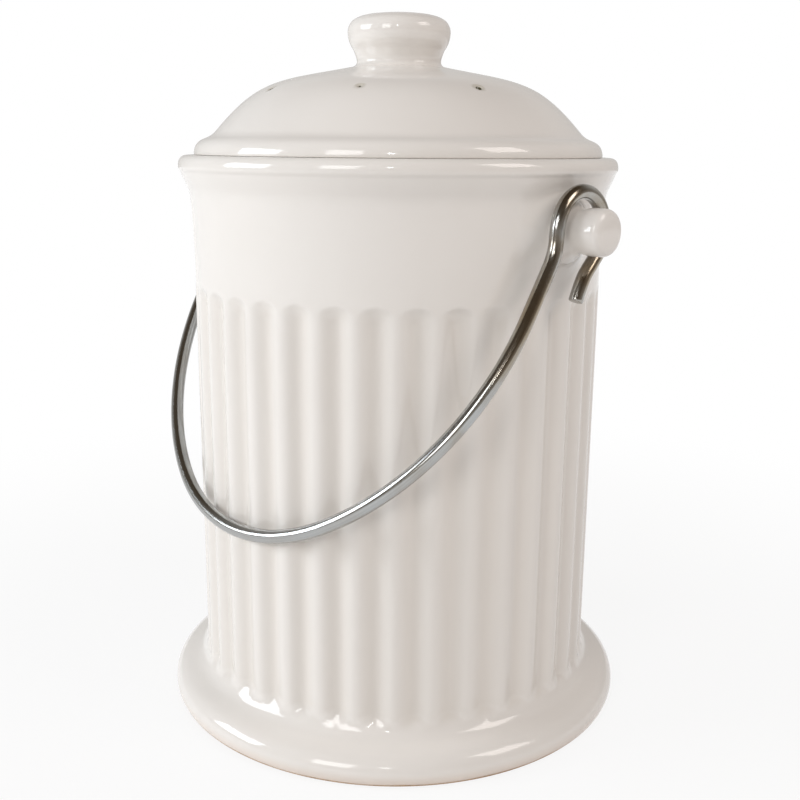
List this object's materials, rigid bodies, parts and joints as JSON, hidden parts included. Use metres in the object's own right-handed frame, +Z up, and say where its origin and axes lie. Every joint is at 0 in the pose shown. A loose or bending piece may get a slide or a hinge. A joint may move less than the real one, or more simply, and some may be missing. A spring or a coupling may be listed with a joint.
{
  "type": "compost crock with loose lid",
  "caption": "Fluted stoneware compost crock with a loose domed lid, vent holes, a round knob, a charcoal filter and a steel wire bail that swings on two side lugs.",
  "frame": {"origin": "centre of the foot, on the surface that the crock stands on", "axes": "+Z up through the knob, the side lugs lie on X, and the bail hangs on the -Y side"},
  "size_m": [0.215, 0.1998, 0.2905],
  "materials": {
    "crock_glaze": "glossy warm white glaze",
    "wire_steel": "drawn bright wire",
    "filter_charcoal": "matt carbon felt",
    "ring_plastic": "satin moulded plastic"
  },
  "bodies": {
    "crock": {"crock_body": "crock_glaze", "lug_right": "crock_glaze", "lug_left": "crock_glaze"},
    "bail": {"bail_handle": "wire_steel"},
    "lid": {"lid_shell": "crock_glaze", "lid_knob": "crock_glaze"},
    "filter_ring": {"filter_ring": "ring_plastic"},
    "filter_disc": {"filter_disc": "filter_charcoal"}
  },
  "joints": [
    {"name": "bail_swing", "type": "hinge", "parent": "crock", "child": "bail", "pos_m": [0, 0, 0.208], "axis": [-1, 0, 0], "range_deg": [0, 286]},
    {"name": "lid_lift", "type": "slide", "parent": "crock", "child": "lid", "axis": [0, 0, 1], "range_m": [0, 0.12]},
    {"name": "ring_pull", "type": "slide", "parent": "lid", "child": "filter_ring", "axis": [0, 0, -1], "range_m": [0, 0.035]},
    {"name": "disc_lift", "type": "slide", "parent": "filter_ring", "child": "filter_disc", "axis": [0, 0, 1], "range_m": [0, 0.008]}
  ]
}
